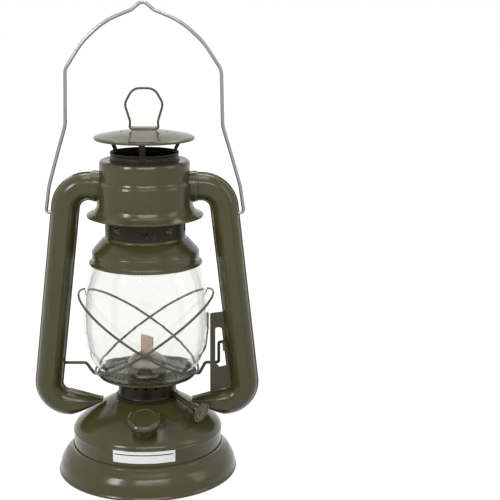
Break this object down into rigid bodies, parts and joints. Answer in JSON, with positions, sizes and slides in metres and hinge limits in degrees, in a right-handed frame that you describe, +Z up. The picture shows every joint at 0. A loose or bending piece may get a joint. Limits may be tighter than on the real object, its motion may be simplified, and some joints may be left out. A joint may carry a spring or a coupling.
{
  "type": "oil lamp",
  "caption": "Hurricane oil lamp with air tubes, glass globe on a lifting gallery, spring-loaded hood, wick winder, screw filler cap and carrying bail.",
  "frame": {"origin": "centre of the foot's lower rim, on the surface the lamp stands on", "axes": "+Z up along the lamp's axis, -Y towards the filler cap, air tubes towards -X and +X"},
  "size_m": [0.1796, 0.144, 0.3737],
  "materials": {
    "olive_paint": "gloss enamel",
    "galvanised_wire": "bright galvanised",
    "globe_glass": "clear",
    "white_strip": "smooth",
    "wick_cloth": "woven cotton",
    "gasket_cork": "matt",
    "burner_metal": "dull tinplate"
  },
  "bodies": {
    "frame": {"air_tube_left_back": "olive_paint", "air_tube_left_front": "olive_paint", "air_tube_right_back": "olive_paint", "air_tube_right_front": "olive_paint", "base_skirt": "olive_paint", "burner_base": "olive_paint", "burner_collar": "olive_paint", "burner_cone": "burner_metal", "burner_drum": "burner_metal", "canopy": "olive_paint", "filler_neck": "olive_paint", "level_strip": "white_strip", "lift_bracket": "olive_paint", "tank_bottom": "olive_paint", "tank_shell": "olive_paint", "tube_collar_left": "olive_paint", "tube_collar_right": "olive_paint", "wick_tube": "burner_metal", "winder_bush": "olive_paint"},
    "globe_carrier": {"gallery": "olive_paint", "globe": "globe_glass", "guard_wire_left": "olive_paint", "guard_wire_right": "olive_paint"},
    "hood": {"bell": "olive_paint", "chimney": "olive_paint", "cap_struts": "olive_paint", "rain_cap": "olive_paint", "ring_saddle": "olive_paint", "hood_spring": "burner_metal"},
    "ring": {"lift_ring": "olive_paint"},
    "crank": {"lift_crank": "olive_paint"},
    "bail": {"bail": "galvanised_wire"},
    "winder": {"winder_shaft": "burner_metal", "winder_knob": "olive_paint", "star_wheels": "burner_metal"},
    "wick": {"wick": "wick_cloth"},
    "cap_seal": {"filler_gasket": "gasket_cork"},
    "cap": {"filler_cap": "olive_paint"}
  },
  "joints": [
    {"name": "crank_turn", "type": "hinge", "parent": "frame", "child": "crank", "pos_m": [0, 0.008, 0.0856], "axis": [1, 0, 0], "range_deg": [0, 33]},
    {"name": "globe_lift", "type": "slide", "parent": "frame", "child": "globe_carrier", "axis": [0, 0, 1], "range_m": [0, 0.011]},
    {"name": "hood_lift", "type": "slide", "parent": "globe_carrier", "child": "hood", "axis": [0, 0, 1], "range_m": [0, 0.009], "stiffness_N_per_m": 60, "springref_m": -0.03, "deforming": ["hood_spring"]},
    {"name": "ring_fold", "type": "hinge", "parent": "hood", "child": "ring", "pos_m": [0, 0, 0.277], "axis": [1, 0, 0], "range_deg": [-90, 90]},
    {"name": "bail_swing", "type": "hinge", "parent": "frame", "child": "bail", "pos_m": [0, 0, 0.211], "axis": [1, 0, 0], "range_deg": [-150, 150]},
    {"name": "winder_turn", "type": "hinge", "parent": "frame", "child": "winder", "pos_m": [0.04338, -0.0292, 0.0563], "axis": [0.7286, -0.6113, -0.309], "range_deg": [-230, 60]},
    {"name": "wick_rise", "type": "slide", "parent": "frame", "child": "wick", "axis": [0, 0, 1], "range_m": [-0.0176, 0.0046]},
    {"name": "cap_turn", "type": "hinge", "parent": "cap_seal", "child": "cap", "pos_m": [0, -0.048, 0.0492], "axis": [0, -0.3746, 0.9272], "range_deg": [0, 720]},
    {"name": "cap_rise", "type": "slide", "parent": "frame", "child": "cap_seal", "axis": [0, -0.3746, 0.9272], "range_m": [0, 0.005]}
  ],
  "couplings": [
    {"joint": "crank_turn", "follows": "globe_lift", "rad_per_m": 52.3},
    {"joint": "winder_turn", "follows": "wick_rise", "rad_per_m": 227.27},
    {"joint": "cap_turn", "follows": "cap_rise", "rad_per_m": 2513.2}
  ]
}
